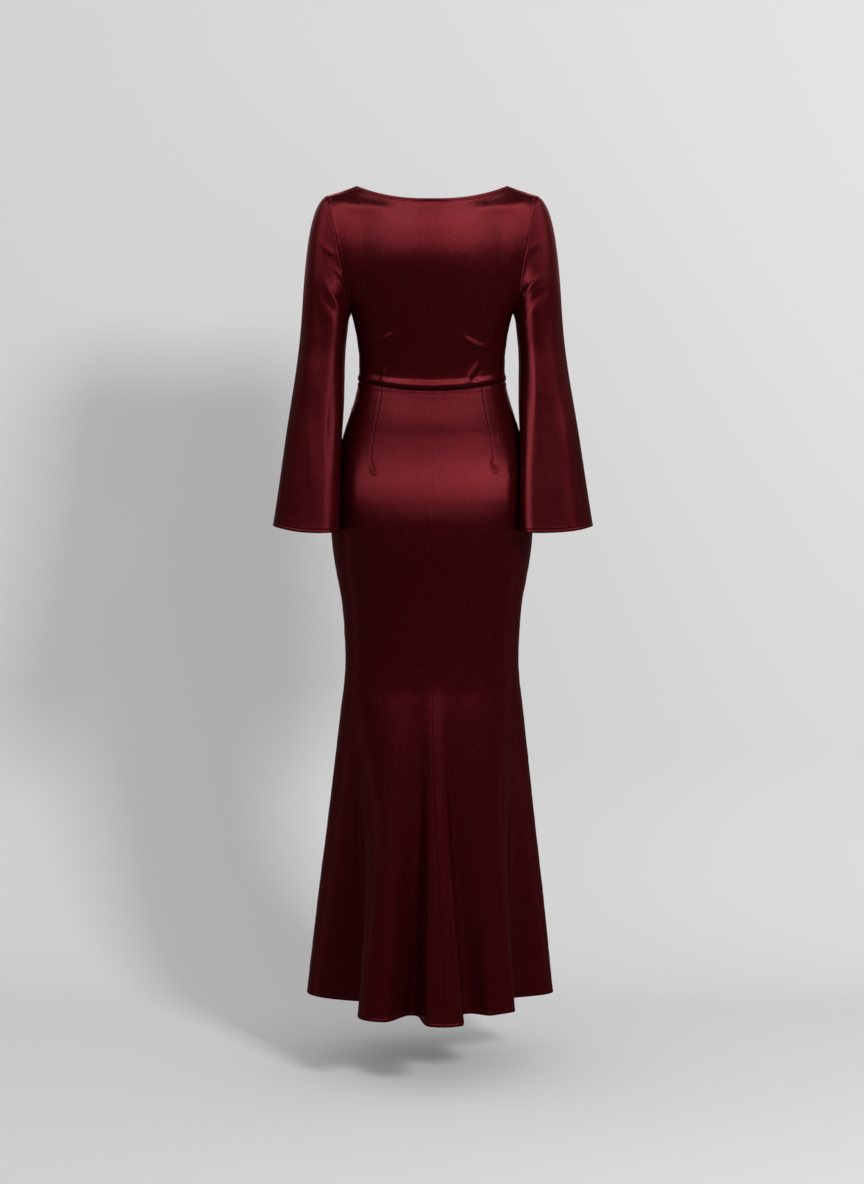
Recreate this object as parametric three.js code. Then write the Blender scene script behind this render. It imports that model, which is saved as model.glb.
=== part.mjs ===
// A full-length mermaid gown in satin, filled out as it is when it is worn.
// The back faces -Y, the front faces +Y, and the wearer's right side is at +X.
// The origin is midway between the two shoulder seams, level with the neck points, and +Z is up.
// Cut: bodice front and back, two set-in bell sleeves in one piece each, a skirt front, and
// two skirt backs that meet in a centre back seam. Every piece is one wall of cloth.
import * as THREE from "three";

// Cloth and seams, in millimetres
const CLOTH_THICKNESS = 1.2;
const SEAM_GAP = 0.3;
const SATIN = { color: 0x4a0a14, roughness: 0.38, metalness: 0 };

// Shoulders and neckline
const NECK_HALF_WIDTH = 133;
const SHOULDER_HALF_WIDTH = 183;
const SHOULDER_DROP = 17;
const NECK_EDGE = {
  back: { depth: 66, drop: 30 },
  front: { depth: 74, drop: 40 },
};
const NECK_PLAN_POWER = 1.7;
const NECK_DROP_POWER = 2.2;

// Armhole: a tilted ellipse from the shoulder point down to the underarm
const UNDERARM = { x: 143, z: -226 };
const ARMHOLE_HALF_DEPTH = 45;
const ARMHOLE_SQUARENESS = 0.8;
const ARMHOLE = {
  x: (SHOULDER_HALF_WIDTH + UNDERARM.x) / 2,
  z: (UNDERARM.z - SHOULDER_DROP) / 2,
  halfWidth: (SHOULDER_HALF_WIDTH - UNDERARM.x) / 2,
  halfHeight: (-SHOULDER_DROP - UNDERARM.z) / 2,
};

// Waist seam, which dips towards the centre back and the centre front
const WAIST = { z: -345, halfWidth: 130.5, back: 71, front: 88 };
const WAIST_DIP = { back: 17, front: 6 };
const WAIST_DIP_ENDS = -450;

// Bodice below the armholes. rise is the share of the way from the waist seam up to the
// underarm; the rest are the section's half width and its depths behind and before the sides.
const BODICE_SECTIONS = [
  { rise: 0, halfWidth: WAIST.halfWidth, back: WAIST.back, front: WAIST.front },
  { rise: 0.05, halfWidth: 130.5, back: 74, front: 89.5 },
  { rise: 0.16, halfWidth: 129, back: 70.5, front: 89 },
  { rise: 0.34, halfWidth: 129.2, back: 70.5, front: 93 },
  { rise: 0.55, halfWidth: 131.8, back: 74.5, front: 104 },
  { rise: 0.78, halfWidth: 136, back: 81, front: 116 },
  { rise: 1, halfWidth: UNDERARM.x, back: 87.5, front: 121 },
];

// Bodice between the armholes. rise is the share of the way from the underarm level up to the
// neckline, and the depths are those of the centre back and the centre front.
const BLADE_SECTIONS = [
  { rise: 0, back: 87.5, front: 121 },
  { rise: 0.2, back: 91.5, front: 117 },
  { rise: 0.42, back: 97, front: 107 },
  { rise: 0.54, back: 99, front: 101.5 },
  { rise: 0.65, back: 97, front: 96 },
  { rise: 0.85, back: 79, front: 83 },
  { rise: 1, back: NECK_EDGE.back.depth, front: NECK_EDGE.front.depth },
];

// Bust shaping of the front, a soft swelling on each side that the side darts give
const BUST = { x: 74, z: -212, spreadX: 44, spreadZ: 52, swell: 13 };

// Skirt: half width of the outline, and depths behind and before the side seams, at each height
const HEM_Z = -1438;
const SKIRT_SECTIONS = [
  { z: WAIST.z, halfWidth: WAIST.halfWidth, back: WAIST.back, front: WAIST.front },
  { z: -378, halfWidth: 137.5, back: 84, front: 93 },
  { z: -414, halfWidth: 149, back: 99, front: 97 },
  { z: -450, halfWidth: 160, back: 107.5, front: 100 },
  { z: -495, halfWidth: 171, back: 114.5, front: 102 },
  { z: -540, halfWidth: 177.5, back: 123.5, front: 103 },
  { z: -585, halfWidth: 180, back: 127.5, front: 102 },
  { z: -628, halfWidth: 178, back: 122, front: 101 },
  { z: -665, halfWidth: 173.5, back: 113.5, front: 100 },
  { z: -701, halfWidth: 167, back: 105, front: 99 },
  { z: -738, halfWidth: 160.5, back: 99, front: 98 },
  { z: -786, halfWidth: 156.5, back: 94, front: 97 },
  { z: -843, halfWidth: 154.5, back: 92, front: 97 },
  { z: -880, halfWidth: 157, back: 94, front: 99 },
  { z: -917, halfWidth: 161.5, back: 100, front: 102 },
  { z: -990, halfWidth: 170, back: 115, front: 111 },
  { z: -1133, halfWidth: 186.5, back: 152, front: 134 },
  { z: -1276, halfWidth: 204, back: 186, front: 157 },
  { z: HEM_Z, halfWidth: 222, back: 216, front: 178 },
];

// Folds of the flare. Angles are in degrees round from the centre back towards the wearer's
// right, at the knee and at the hem. radius is how far the hem stands from the centre line
// there, and crown is how many degrees to each side a ridge or a valley stays about as wide.
const FLARE_STARTS = -868;
const FLARE_POWER = 1.2;
const CROWN_AT_KNEE = 0.35;
const CROWN_KEEPS = 0.88;
const FLARE_FOLDS = [
  { fold: "left side ridge", knee: -90, hem: -90, crown: 3, radius: 225 },
  { fold: "left back valley", knee: -57, hem: -52, crown: 5, radius: 143 },
  { fold: "left back ridge", knee: -22, hem: -23, crown: 5, radius: 251 },
  { fold: "valley left of the seam", knee: -7, hem: -10, crown: 2.5, radius: 189 },
  { fold: "centre back ridge", knee: 2, hem: 4.8, crown: 6, radius: 271 },
  { fold: "valley right of the seam", knee: 10, hem: 19, crown: 3, radius: 184 },
  { fold: "right back ridge", knee: 33, hem: 34, crown: 6, radius: 213 },
  { fold: "right back valley", knee: 65, hem: 61, crown: 7, radius: 145 },
  { fold: "right side ridge", knee: 90, hem: 90, crown: 2, radius: 217 },
  { fold: "right front valley", knee: 113, hem: 113, crown: 5, radius: 150 },
  { fold: "right front ridge", knee: 136, hem: 136, crown: 6, radius: 212 },
  { fold: "right centre front valley", knee: 157, hem: 157, crown: 4, radius: 158 },
  { fold: "centre front ridge", knee: 178, hem: 178, crown: 7, radius: 203 },
  { fold: "left centre front valley", knee: 200, hem: 200, crown: 5, radius: 160 },
  { fold: "left front ridge", knee: 223, hem: 223, crown: 6, radius: 214 },
  { fold: "left front valley", knee: 246, hem: 246, crown: 5, radius: 148 },
];
const SEAM_SWING_AT_HEM = 4.5;

// Back skirt darts, sewn grooves that lean outwards on their way down from the waist seam
const DART = { angleAtWaist: 42.5, angleAtTip: 39.3, tipZ: -491, depth: 0.6, halfWidth: 0.7 };

// Sleeve below the armhole, right side: outline, depths and the middle of the depth
const BICEP_Z = -250;
const CUFF_Z = -599;
const SLEEVE_SECTIONS = [
  { z: BICEP_Z, outer: 231.5, inner: 149, halfDepth: 60, middle: -2 },
  { z: -290, outer: 236, inner: 153, halfDepth: 60, middle: -5 },
  { z: -325, outer: 240.5, inner: 154, halfDepth: 61, middle: -9 },
  { z: -378, outer: 248.5, inner: 154, halfDepth: 64, middle: -16 },
  { z: -431, outer: 256.5, inner: 154.5, halfDepth: 68, middle: -24 },
  { z: -484, outer: 263.5, inner: 154.5, halfDepth: 72, middle: -32 },
  { z: -537, outer: 270.5, inner: 155, halfDepth: 77, middle: -40 },
  { z: CUFF_Z, outer: 279.5, inner: 155.5, halfDepth: 82, middle: -47 },
];
// Soft flutes of the bell. turn runs from the outer side over the back, and out is at the cuff.
const FLUTES_START = -325;
const SLEEVE_FLUTES = {
  right: [
    { turn: 28, out: 3 },
    { turn: 70, out: -7 },
    { turn: 118, out: 4 },
    { turn: 165, out: -1 },
    { turn: 225, out: 3 },
    { turn: 275, out: -6 },
    { turn: 322, out: 2 },
  ],
  left: [
    { turn: 25, out: 2 },
    { turn: 62, out: -6 },
    { turn: 100, out: 4 },
    { turn: 127, out: -7 },
    { turn: 150, out: 3 },
    { turn: 215, out: 2 },
    { turn: 262, out: -6 },
    { turn: 315, out: 3 },
  ],
};
// How far the cuff stands out from the table's outline on its outer and on its inner side
const CUFF_FLARE = {
  right: { outer: 1.5, inner: 5 },
  left: { outer: -1.5, inner: -4 },
};
const SLEEVE_SQUARENESS = 0.86;
// How much lower the cuff hangs than on its outer side
const CUFF_DROP = { inner: 9.5, back: 6, front: 1 };
const SLEEVE_CLEARANCE = 5;
const SLEEVE_CLEARANCE_BLEND = 5;
// The sleeve head: how far it runs out of the armhole, and which way for each step outwards,
// then how long it falls to the bicep, and how far out for each step down
const HEAD_RUN = { top: 118, underarm: 15 };
const HEAD_RUNS_BACK = 0.2;
const HEAD_RUNS_DOWN = { top: 0.33, underarm: 1 };
const HEAD_FALL = { top: 300, underarm: 25 };
const HEAD_FALLS_OUT = 0.06;

// Mesh steps
const BODICE_COLUMNS = 12;
const NECK_COLUMN = 8;
// The angle that the top row spans, chosen so that the neck point falls on its own column
const TOP_SPAN = 55.4;
const BODICE_LOWER_ROWS = 6;
const ARMHOLE_ROWS = 12;
const SKIRT_ROWS = 20;
const SKIRT_ROW_POWER = 1.2;
const SKIRT_BACK_COLUMNS = 24;
const COLUMNS_OUTSIDE_DART = 11;
const SKIRT_FRONT_COLUMNS = 30;
const SLEEVE_HEAD_ROWS = 7;
const SLEEVE_ROWS = 8;

const radians = (degrees) => (degrees * Math.PI) / 180;
const mix = (a, b, share) => a + (b - a) * share;
const clamp = (value) => Math.min(1, Math.max(0, value));
const rounded = (value, power) => Math.sign(value) * Math.abs(value) ** power;
const ease = (value) => clamp(value) ** 2 * (3 - 2 * clamp(value));

// A smooth curve through one column of a table, with no overshoot between its rows.
function curveThrough(table, along, column) {
  const ordered = [...table].sort((p, q) => p[along] - q[along]);
  const x = ordered.map((row) => row[along]);
  const y = ordered.map((row) => row[column]);
  const last = x.length - 1;
  const secant = (i) => (y[i + 1] - y[i]) / (x[i + 1] - x[i]);
  const tangent = (i) => {
    if (i === 0) return secant(0);
    if (i === last) return secant(last - 1);
    const before = secant(i - 1);
    const after = secant(i);
    return before * after <= 0 ? 0 : (2 * before * after) / (before + after);
  };
  return (at) => {
    const found = x.findIndex((value) => value > at);
    const i = Math.min(last - 1, Math.max(0, (found < 0 ? last : found) - 1));
    const step = x[i + 1] - x[i];
    const t = clamp((at - x[i]) / step);
    const rise = (2 * t ** 3 - 3 * t ** 2 + 1) * y[i] + (3 * t ** 2 - 2 * t ** 3) * y[i + 1];
    return rise + step * ((t - 2 * t ** 2 + t ** 3) * tangent(i) + (t ** 3 - t ** 2) * tangent(i + 1));
  };
}

const curvesOf = (table, along, columns) =>
  Object.fromEntries(columns.map((column) => [column, curveThrough(table, along, column)]));

const bodice = curvesOf(BODICE_SECTIONS, "rise", ["halfWidth", "back", "front"]);
const blade = curvesOf(BLADE_SECTIONS, "rise", ["back", "front"]);
const skirt = curvesOf(SKIRT_SECTIONS, "z", ["halfWidth", "back", "front"]);
const sleeve = curvesOf(SLEEVE_SECTIONS, "z", ["outer", "inner", "halfDepth", "middle"]);

// How much lower the waist seam lies at this angle than at the side seams.
function waistDip(angle) {
  const across = Math.cos(radians(angle));
  return (across > 0 ? WAIST_DIP.back : WAIST_DIP.front) * across ** 2;
}

// Skirt

const flareShare = (z) => clamp((FLARE_STARTS - z) / (FLARE_STARTS - HEM_Z));

// How far the folds push the cloth out (or in) from the plain section, at this angle and height.
function foldOffset(angle, z) {
  const share = flareShare(z);
  if (share === 0) return 0;
  const folds = FLARE_FOLDS.flatMap((fold) => {
    const at = mix(fold.knee, fold.hem, share);
    const turn = radians(fold.hem);
    const depth = Math.cos(turn) > 0 ? skirt.back(HEM_Z) : skirt.front(HEM_Z);
    const plain = Math.hypot(skirt.halfWidth(HEM_Z) * Math.sin(turn), depth * Math.cos(turn));
    const out = fold.radius - plain;
    const crown = fold.crown * mix(CROWN_AT_KNEE, 1, share);
    return [
      { at: at - crown, out: out * CROWN_KEEPS },
      { at, out },
      { at: at + crown, out: out * CROWN_KEEPS },
    ];
  });
  const around = [-360, 0, 360].flatMap((turn) => folds.map(({ at, out }) => ({ at: at + turn, out })));
  return curveThrough(around, "at", "out")(angle) * share ** FLARE_POWER;
}

// A dart's groove, which is deepest on its seam line and fades out at its tip.
function dartDepth(angle, z) {
  const down = clamp((WAIST.z - z) / (WAIST.z - DART.tipZ));
  const away = Math.abs(Math.abs(angle) - dartAngle(z));
  return down < 1 && away < DART.halfWidth ? DART.depth * (1 - away / DART.halfWidth) : 0;
}

function dartAngle(z) {
  return mix(DART.angleAtWaist, DART.angleAtTip, clamp((WAIST.z - z) / (WAIST.z - DART.tipZ)));
}

// A point of the skirt's outer face. level is its height at the side seams.
function skirtPoint(angle, level) {
  const turn = radians(angle);
  const depth = Math.cos(turn) > 0 ? skirt.back(level) : skirt.front(level);
  const x = skirt.halfWidth(level) * Math.sin(turn);
  const y = -depth * Math.cos(turn);
  const scale = 1 + (foldOffset(angle, level) - dartDepth(angle, level)) / Math.hypot(x, y);
  const dip = waistDip(angle) * ease((level - WAIST_DIP_ENDS) / (WAIST.z - WAIST_DIP_ENDS));
  return new THREE.Vector3(x * scale, y * scale, level - dip);
}

const seamSwing = (z) => SEAM_SWING_AT_HEM * ease(flareShare(z));

// Bodice

// Below the armholes: rise runs from the waist seam to the underarm.
function lowerBodicePoint(side, angle, rise) {
  const turn = radians(angle);
  const y = (side === "back" ? -1 : 1) * bodice[side](rise) * Math.cos(turn);
  const dip = WAIST_DIP[side] * Math.cos(turn) ** 2;
  return new THREE.Vector3(
    bodice.halfWidth(rise) * Math.sin(turn),
    y,
    mix(WAIST.z - dip, UNDERARM.z, rise),
  );
}

// A point of the armhole seam. turn is 0 at the shoulder point and 180 at the underarm, and
// turns below 180 lie on the back.
function armholePoint(turn) {
  const a = radians(turn);
  return new THREE.Vector3(
    ARMHOLE.x + ARMHOLE.halfWidth * Math.cos(a),
    -ARMHOLE_HALF_DEPTH * rounded(Math.sin(a), ARMHOLE_SQUARENESS),
    ARMHOLE.z + ARMHOLE.halfHeight * Math.cos(a),
  );
}

// The angle that a row of the bodice spans from its centre to its edge.
const rowSpan = (rise) => mix(90, TOP_SPAN, Math.sin(radians(90 * rise)));

// The neckline from its centre to the neck point, and then the shoulder seam.
function topEdge(side, across) {
  const x = (SHOULDER_HALF_WIDTH * Math.sin(radians(TOP_SPAN * across))) / Math.sin(radians(TOP_SPAN));
  const edge = NECK_EDGE[side];
  const share = x / NECK_HALF_WIDTH;
  if (across > (NECK_COLUMN - 0.5) / BODICE_COLUMNS) {
    const along = Math.max(0, (x - NECK_HALF_WIDTH) / (SHOULDER_HALF_WIDTH - NECK_HALF_WIDTH));
    return { y: 0, z: -SHOULDER_DROP * along };
  }
  return { y: edge.depth * (1 - share ** NECK_PLAN_POWER), z: -edge.drop * (1 - share ** NECK_DROP_POWER) };
}

// Between the armholes: a patch whose four edges are the underarm section, the neckline with
// the shoulder seam, the centre line and the armhole. across runs from the centre to the armhole.
function upperBodicePoint(side, across, rise) {
  const span = rowSpan(rise);
  const turn = radians(span * across);
  const edgeShare = (1 - Math.cos(turn)) / (1 - Math.cos(radians(span)));
  const arm = armholePoint(180 * (1 - rise));
  const top = topEdge(side, across);
  const bottomDepth = blade[side](0) * Math.cos(radians(90 * across));
  const depthOffCentre = blade[side](rise) - mix(blade[side](0), blade[side](1), rise);
  const heightOffEdge = arm.z - mix(UNDERARM.z, -SHOULDER_DROP, rise);
  const depth =
    mix(bottomDepth, top.y, rise) + depthOffCentre * (1 - edgeShare) - arm.y * edgeShare;
  return new THREE.Vector3(
    (arm.x * Math.sin(turn)) / Math.sin(radians(span)),
    side === "back" ? -depth : depth,
    mix(UNDERARM.z, top.z, rise) + heightOffEdge * edgeShare,
  );
}

// The front swells over the bust on each side.
function withBust(side, point) {
  if (side === "front") {
    const dx = (Math.abs(point.x) - BUST.x) / BUST.spreadX;
    const dz = (point.z - BUST.z) / BUST.spreadZ;
    point.y += BUST.swell * Math.exp(-(dx ** 2) - dz ** 2);
  }
  return point;
}

// Sleeve, on the wearer's right; the left one is its mirror image

// Keeps a point of the sleeve clear of the body beside it, with a soft turn where it begins to.
function clearOfBody(point, level) {
  const depth = point.y < 0 ? skirt.back(level) : skirt.front(level);
  const share = 1 - (point.y / depth) ** 2;
  if (level > WAIST.z || share <= 0) return point;
  const limit = skirt.halfWidth(level) * Math.sqrt(share) + SLEEVE_CLEARANCE;
  const blend = SLEEVE_CLEARANCE_BLEND;
  const over = Math.exp(-Math.abs(point.x - limit) / blend);
  point.x = Math.max(point.x, limit) + blend * Math.log(1 + over);
  return point;
}

// A point of the sleeve's ring at a height below the armhole. turn is 0 on the outer side,
// 90 at the back and 180 on the inner side.
function sleeveRingPoint(turn, level, side) {
  const a = radians(turn);
  const down = ease((BICEP_Z - level) / (BICEP_Z - CUFF_Z));
  const outer = sleeve.outer(level) + CUFF_FLARE[side].outer * down;
  const inner = sleeve.inner(level) - CUFF_FLARE[side].inner * down;
  const around = [-360, 0, 360].flatMap((whole) =>
    SLEEVE_FLUTES[side].map(({ turn: at, out }) => ({ at: at + whole, out })),
  );
  const flute = curveThrough(around, "at", "out")(turn);
  const halfWidth = (outer - inner) / 2;
  const halfDepth = sleeve.halfDepth(level);
  const size = 1 + (flute * ease((FLUTES_START - level) / (FLUTES_START - CUFF_Z))) / halfDepth;
  const swell = Math.sin(a) > 0 ? CUFF_DROP.back : CUFF_DROP.front;
  const drop = (CUFF_DROP.inner * (1 - Math.cos(a))) / 2 + swell * Math.sin(a) ** 2;
  const point = new THREE.Vector3(
    outer - halfWidth + halfWidth * rounded(Math.cos(a), SLEEVE_SQUARENESS) * size,
    sleeve.middle(level) - halfDepth * rounded(Math.sin(a), SLEEVE_SQUARENESS) * size,
    level - drop * down,
  );
  return clearOfBody(point, level);
}

// The sleeve head: from the armhole it runs outwards and then falls to the bicep.
function sleeveHeadPoint(turn, share, side) {
  const a = radians(turn);
  const topness = (1 + Math.cos(a)) / 2;
  const start = armholePoint(turn).add(new THREE.Vector3(SEAM_GAP, 0, 0));
  const end = sleeveRingPoint(turn, BICEP_Z, side);
  const down = mix(HEAD_RUNS_DOWN.underarm, HEAD_RUNS_DOWN.top, Math.sqrt(topness));
  const run = new THREE.Vector3(1, -HEAD_RUNS_BACK * Math.sin(a), -down)
    .normalize()
    .multiplyScalar(mix(HEAD_RUN.underarm, HEAD_RUN.top, topness));
  const fall = new THREE.Vector3(HEAD_FALLS_OUT, 0, -1).multiplyScalar(
    mix(HEAD_FALL.underarm, HEAD_FALL.top, topness),
  );
  return new THREE.Vector3()
    .addScaledVector(start, 2 * share ** 3 - 3 * share ** 2 + 1)
    .addScaledVector(run, share ** 3 - 2 * share ** 2 + share)
    .addScaledVector(end, 3 * share ** 2 - 2 * share ** 3)
    .addScaledVector(fall, share ** 3 - share ** 2);
}

// Walls of cloth

// The unit directions into the cloth, from the way the neighbouring points run.
function inwardDirections(rows, closed, towards) {
  return rows.map((row, i) =>
    row.map((point, j) => {
      const last = row.length - 1;
      const before = row[closed ? (j + last) % row.length : Math.max(0, j - 1)];
      const after = row[closed ? (j + 1) % row.length : Math.min(last, j + 1)];
      const below = rows[Math.max(0, i - 1)][j];
      const above = rows[Math.min(rows.length - 1, i + 1)][j];
      const normal = new THREE.Vector3()
        .subVectors(after, before)
        .cross(new THREE.Vector3().subVectors(above, below))
        .normalize();
      return normal.dot(towards(point)) < 0 ? normal.negate() : normal;
    }),
  );
}

// Closes a grid of outer points and the same grid moved into the cloth as one solid.
function wall(name, outer, inward, closed) {
  const rows = outer.length;
  const columns = outer[0].length;
  const points = [
    ...outer.flat(),
    ...outer.flatMap((row, i) =>
      row.map((point, j) => point.clone().addScaledVector(inward[i][j], CLOTH_THICKNESS)),
    ),
  ];
  const front = (i, j) => i * columns + (j % columns);
  const behind = (i, j) => rows * columns + front(i, j);
  const faces = [];
  const quad = (a, b, c, d) => faces.push(a, b, c, a, c, d);
  const across = closed ? columns : columns - 1;
  for (let j = 0; j < across; j += 1) {
    for (let i = 0; i < rows - 1; i += 1) {
      quad(front(i, j), front(i, j + 1), front(i + 1, j + 1), front(i + 1, j));
      quad(behind(i, j), behind(i + 1, j), behind(i + 1, j + 1), behind(i, j + 1));
    }
    quad(front(0, j), behind(0, j), behind(0, j + 1), front(0, j + 1));
    quad(front(rows - 1, j), front(rows - 1, j + 1), behind(rows - 1, j + 1), behind(rows - 1, j));
  }
  if (!closed) {
    const end = columns - 1;
    for (let i = 0; i < rows - 1; i += 1) {
      quad(front(i, 0), front(i + 1, 0), behind(i + 1, 0), behind(i, 0));
      quad(front(i, end), behind(i, end), behind(i + 1, end), front(i + 1, end));
    }
  }
  let volume = 0;
  for (let k = 0; k < faces.length; k += 3) {
    const [a, b, c] = faces.slice(k, k + 3).map((index) => points[index]);
    volume += a.dot(b.clone().cross(c));
  }
  const geometry = new THREE.BufferGeometry();
  geometry.setAttribute(
    "position",
    new THREE.Float32BufferAttribute(points.flatMap((point) => point.toArray()), 3),
  );
  geometry.setIndex(volume > 0 ? faces : faces.reverse());
  geometry.computeVertexNormals();
  const mesh = new THREE.Mesh(geometry, new THREE.MeshStandardMaterial(SATIN));
  mesh.name = name;
  return mesh;
}

const steps = (count) => Array.from({ length: count + 1 }, (_, i) => i / count);
const intoSkirt = (point) => new THREE.Vector3(-point.x, -point.y, 0);
const intoBodice = (point) => new THREE.Vector3(-point.x, -point.y, UNDERARM.z - point.z);
const intoArmhole = (point) => new THREE.Vector3(0, -point.y, ARMHOLE.z - point.z).normalize();

function flatten(direction, axis) {
  direction[axis] = 0;
  direction.normalize();
}

// The bodice front or back: rows from the waist seam up, columns from the left edge to the right.
function bodicePanel(side) {
  const columns = steps(2 * BODICE_COLUMNS).map((share) => 2 * share - 1);
  const sign = side === "back" ? -1 : 1;
  const mirrored = (across, make) => {
    const point = withBust(side, make(Math.abs(across)));
    point.x *= Math.sign(across);
    return point;
  };
  const lower = steps(BODICE_LOWER_ROWS).map((rise) =>
    columns.map((across) => mirrored(across, (a) => lowerBodicePoint(side, 90 * a, rise))),
  );
  const upper = steps(ARMHOLE_ROWS)
    .slice(1)
    .map((rise) => columns.map((across) => mirrored(across, (a) => upperBodicePoint(side, a, rise))));
  const rows = [...lower, ...upper];
  const inward = inwardDirections(rows, false, intoBodice);
  const top = rows.length - 1;
  const edges = [0, columns.length - 1];
  inward[0].forEach((direction) => flatten(direction, "z"));
  rows[0].forEach((point) => (point.z += SEAM_GAP / 2));
  for (const j of edges) {
    for (let i = 0; i < BODICE_LOWER_ROWS; i += 1) flatten(inward[i][j], "y");
    for (let i = BODICE_LOWER_ROWS; i <= top; i += 1) inward[i][j] = intoArmhole(rows[i][j]);
  }
  columns.forEach((across, j) => {
    if (Math.abs(across) < (NECK_COLUMN - 0.5) / BODICE_COLUMNS) return;
    inward[top][j].set(0, 0, -1);
    rows[top][j].y = (sign * SEAM_GAP) / 2;
  });
  for (const j of edges) {
    for (let i = 0; i <= BODICE_LOWER_ROWS; i += 1) rows[i][j].y = (sign * SEAM_GAP) / 2;
  }
  return wall(`bodice_${side}`, rows, inward, false);
}

// A skirt panel between two seams. angles gives each column's angle at a height.
function skirtPanel(name, angles) {
  const levels = steps(SKIRT_ROWS).map((share) => mix(WAIST.z, HEM_Z, share ** SKIRT_ROW_POWER));
  const wide = levels.map((level) => {
    const inner = angles(level);
    const first = 2 * inner[0] - inner[1];
    const last = 2 * inner.at(-1) - inner.at(-2);
    return [first, ...inner, last].map((angle) => skirtPoint(angle, level));
  });
  const inward = inwardDirections(wide, false, intoSkirt).map((row) => row.slice(1, -1));
  const rows = wide.map((row) => {
    const cut = row.slice(1, -1).map((point) => point.clone());
    const moveIn = (edge, beside) => {
      const along = cut[beside].clone().sub(cut[edge]);
      cut[edge].addScaledVector(along.normalize(), SEAM_GAP / 2);
    };
    moveIn(0, 1);
    moveIn(cut.length - 1, cut.length - 2);
    return cut;
  });
  inward[0].forEach((direction) => flatten(direction, "z"));
  rows[0].forEach((point) => (point.z -= SEAM_GAP / 2));
  return wall(name, rows, inward, false);
}

// A back panel's columns: even steps from the side seam to the centre back seam, with three
// close together along the dart.
function backPanelAngles(side) {
  return (level) => {
    const centre = seamSwing(level);
    const dart = side * dartAngle(level);
    const even = (from, to, count) => steps(count).map((share) => mix(from, to, share));
    const beside = side * DART.halfWidth;
    return [
      ...even(side * 90, dart + beside, COLUMNS_OUTSIDE_DART),
      dart,
      ...even(dart - beside, centre, SKIRT_BACK_COLUMNS - COLUMNS_OUTSIDE_DART),
    ];
  };
}

// One bell sleeve, set into its armhole.
function sleevePiece(side) {
  const turns = steps(2 * ARMHOLE_ROWS)
    .slice(0, -1)
    .map((share) => 360 * share);
  const head = steps(SLEEVE_HEAD_ROWS).map((share) =>
    turns.map((turn) => sleeveHeadPoint(turn, share, side)),
  );
  const below = steps(SLEEVE_ROWS)
    .slice(1)
    .map((share) => turns.map((turn) => sleeveRingPoint(turn, mix(BICEP_Z, CUFF_Z, share), side)));
  const rows = [...head, ...below];
  const inward = rows.map((row, i) => {
    const middle = row.reduce((sum, point) => sum.add(point), new THREE.Vector3());
    middle.divideScalar(row.length);
    const intoSleeve = (point) => middle.clone().sub(point);
    return inwardDirections(rows, true, intoSleeve)[i];
  });
  inward[0] = rows[0].map(intoArmhole);
  if (side === "left") [...rows.flat(), ...inward.flat()].forEach((vector) => (vector.x *= -1));
  return wall(`sleeve_${side}`, rows, inward, true);
}

const gown = new THREE.Group();
gown.name = "mermaid_gown";
gown.add(bodicePanel("back"));
gown.add(bodicePanel("front"));
gown.add(sleevePiece("right"));
gown.add(sleevePiece("left"));
gown.add(skirtPanel("skirt_back_right", backPanelAngles(1)));
gown.add(skirtPanel("skirt_back_left", backPanelAngles(-1)));
gown.add(
  skirtPanel("skirt_front", () => steps(SKIRT_FRONT_COLUMNS).map((share) => mix(90, 270, share))),
);

export default gown;
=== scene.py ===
"""A mermaid gown in burgundy satin, seen from behind and filled out as it is when it is worn."""
import math

import bpy
import numpy as np
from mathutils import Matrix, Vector


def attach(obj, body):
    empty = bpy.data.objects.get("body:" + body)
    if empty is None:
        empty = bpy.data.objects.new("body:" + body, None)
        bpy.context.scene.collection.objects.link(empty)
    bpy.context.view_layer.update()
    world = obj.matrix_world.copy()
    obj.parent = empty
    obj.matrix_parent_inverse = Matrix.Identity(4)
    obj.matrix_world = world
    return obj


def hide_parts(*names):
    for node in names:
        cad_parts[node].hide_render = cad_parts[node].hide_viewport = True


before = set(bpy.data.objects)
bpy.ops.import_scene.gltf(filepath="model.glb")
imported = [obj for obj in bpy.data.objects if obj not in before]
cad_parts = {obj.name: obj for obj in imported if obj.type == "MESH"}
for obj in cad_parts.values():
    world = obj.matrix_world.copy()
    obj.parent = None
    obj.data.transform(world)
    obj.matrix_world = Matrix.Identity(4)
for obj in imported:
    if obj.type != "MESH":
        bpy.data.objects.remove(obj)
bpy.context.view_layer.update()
scene = bpy.context.scene
MM = 0.001  # the tables are in millimetres and the scene is in metres

# Camera. It stands four metres behind the gown, a little above its middle, and looks straight
# at the centre back.
CAMERA_DISTANCE = 4.0
CAMERA_RISE = math.radians(3)
CAMERA_AIM = Vector((0, 0, -0.719))
VIEW_HEIGHT = 2.112  # what the picture's long side covers at the gown

lens = bpy.data.cameras.new("camera")
lens.sensor_width = 36
lens.lens = 36 * CAMERA_DISTANCE / VIEW_HEIGHT
camera = bpy.data.objects.new("camera", lens)
scene.collection.objects.link(camera)
towards_camera = Vector((0, -math.cos(CAMERA_RISE), math.sin(CAMERA_RISE)))
camera.location = CAMERA_AIM + CAMERA_DISTANCE * towards_camera
camera.rotation_euler = towards_camera.to_track_quat("Z", "Y").to_euler()
scene.camera = camera
scene.view_settings.view_transform = "Standard"

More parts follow.
